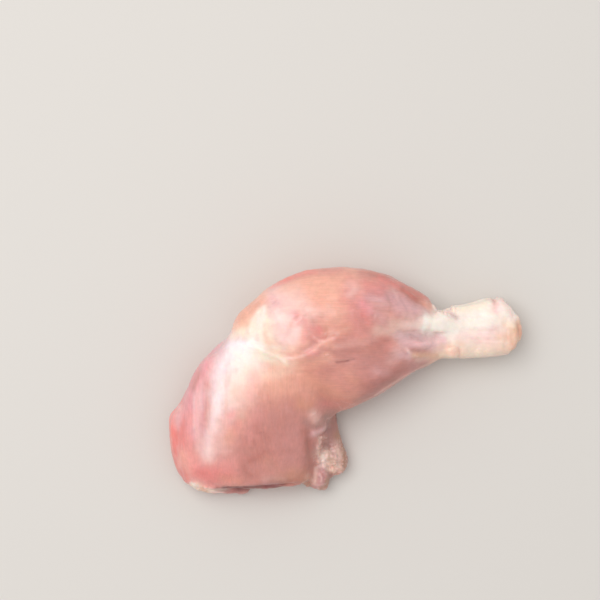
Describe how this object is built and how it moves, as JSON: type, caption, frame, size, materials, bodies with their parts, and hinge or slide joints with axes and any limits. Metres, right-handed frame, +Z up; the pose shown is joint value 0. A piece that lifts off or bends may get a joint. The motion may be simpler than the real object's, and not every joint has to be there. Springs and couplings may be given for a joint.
{
  "type": "raw chicken leg quarter",
  "caption": "Raw skinless chicken thigh and drumstick in one piece, lying on its inner side, with the knee bent and the tendons gathered into a bare shank.",
  "frame": {"origin": "under the middle of the leg, on the plane that it rests on", "axes": "+X from the thigh side towards the end of the shank, +Y from the thigh's cut end towards the top edge of the drumstick, +Z up"},
  "size_m": [0.1766, 0.1148, 0.0464],
  "materials": {
    "raw_meat": "moist raw chicken meat with pale fat and tendons"
  },
  "bodies": {
    "root": {"leg_quarter": "raw_meat"}
  },
  "joints": []
}
